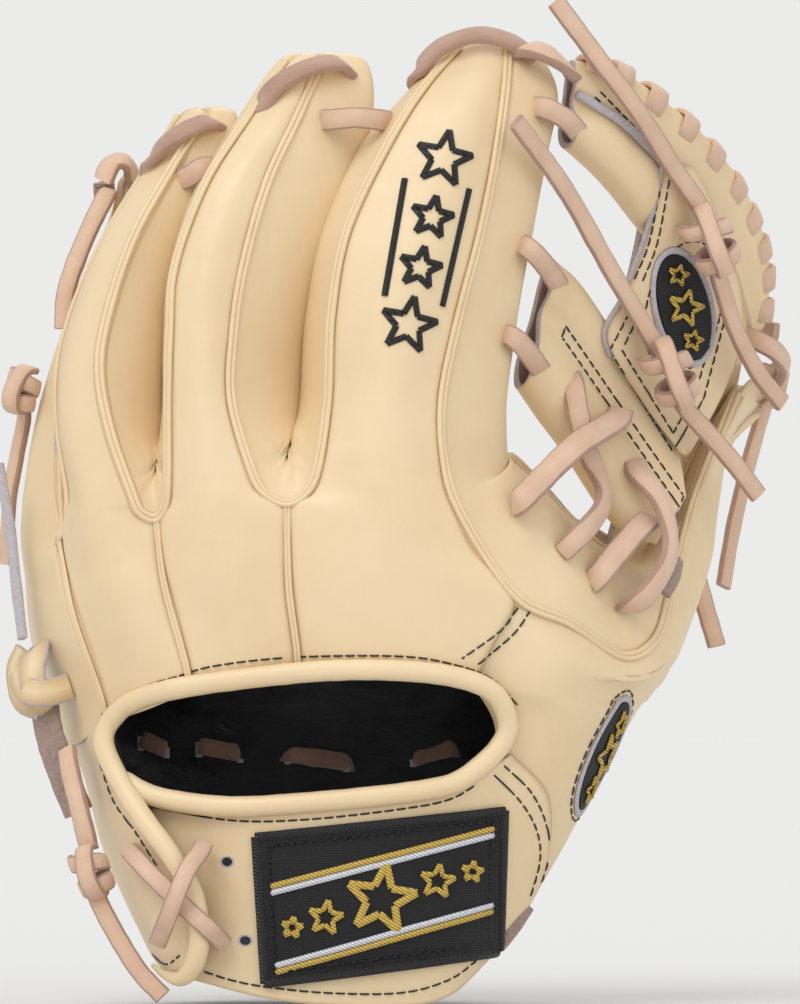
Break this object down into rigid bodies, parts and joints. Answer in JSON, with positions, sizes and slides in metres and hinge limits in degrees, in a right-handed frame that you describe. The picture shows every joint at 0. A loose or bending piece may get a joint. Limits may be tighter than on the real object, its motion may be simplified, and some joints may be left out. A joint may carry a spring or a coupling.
{
  "type": "baseball glove",
  "caption": "Open-back infield baseball glove for the left hand, sewn from leather panels, with an I-shaped web laced between index finger and thumb and a laced wrist strap",
  "frame": {"origin": "where the hand sits, in the middle of the hand opening behind the back window", "axes": "+Z to the fingertips, -Y the back of the hand, +Y the catching side, +X the thumb side"},
  "size_m": [0.2414, 0.1515, 0.3014],
  "materials": {
    "shell_leather": "smooth cream cowhide, satin",
    "web_leather": "smooth cream cowhide with raw suede edges",
    "lace": "tan rawhide lace, fibrous edges",
    "lining": "soft black lining leather",
    "felt": "pressed wool felt padding",
    "patch": "black embroidered patch with gold and white thread"
  },
  "bodies": {
    "root": {"back_index": "shell_leather", "back_middle": "shell_leather", "back_ring": "shell_leather", "back_pinky": "shell_leather", "gusset_index_middle": "shell_leather", "gusset_middle_ring": "shell_leather", "gusset_ring_pinky": "shell_leather", "gusset_index": "shell_leather", "palm_shell": "shell_leather", "wrist_strap": "shell_leather", "pinky_flap": "shell_leather", "window_binding": "shell_leather", "flap_binding": "shell_leather", "web_top_bar": "web_leather", "web_top_bar_front": "web_leather", "web_lower_bar": "web_leather", "web_lower_bar_front": "web_leather", "web_post_back": "web_leather", "web_post_front": "web_leather", "palm_lining": "lining", "strap_lining": "lining", "palm_felt": "felt", "strap_patch": "patch", "tail_web_top_long": "lace", "tail_web_top_short": "lace", "tail_web_low_long": "lace", "tail_web_low_short": "lace", "tail_pinky_tip": "lace", "tail_pinky_side": "lace", "tail_pinky_heel": "lace", "tail_flap": "lace", "tip_lace_index": "lace", "tip_lace_middle": "lace", "tip_lace_ring": "lace", "tip_lace_pinky": "lace", "lace_middle_index": "lace", "lace_ring_middle": "lace", "web_lace_top": "lace", "web_lace_upper": "lace", "web_lace_lower": "lace", "crotch_lace_a": "lace", "crotch_lace_b": "lace", "crotch_lace_c": "lace", "crotch_lace_d": "lace", "strap_lace_under": "lace", "strap_lace_over": "lace", "web_whip_lace": "lace", "heel_lace": "lace", "knot_web_upper": "lace", "knot_web_lower": "lace", "knot_flap": "lace", "knot_pinky_side": "lace", "knot_pinky_heel": "shell_leather"},
    "thumb": {"gusset_thumb": "shell_leather", "thumb_back": "shell_leather", "thumb_front": "shell_leather", "thumb_patch": "patch", "knot_thumb_tip": "lace", "tail_thumb_tip": "lace", "tail_thumb_back": "lace"}
  },
  "joints": [
    {"name": "thumb_fold", "type": "hinge", "parent": "root", "child": "thumb", "pos_m": [0.06465, 0.0246, 0.006], "axis": [0.155, -0.2396, 0.9584], "range_deg": [0, 12]}
  ]
}
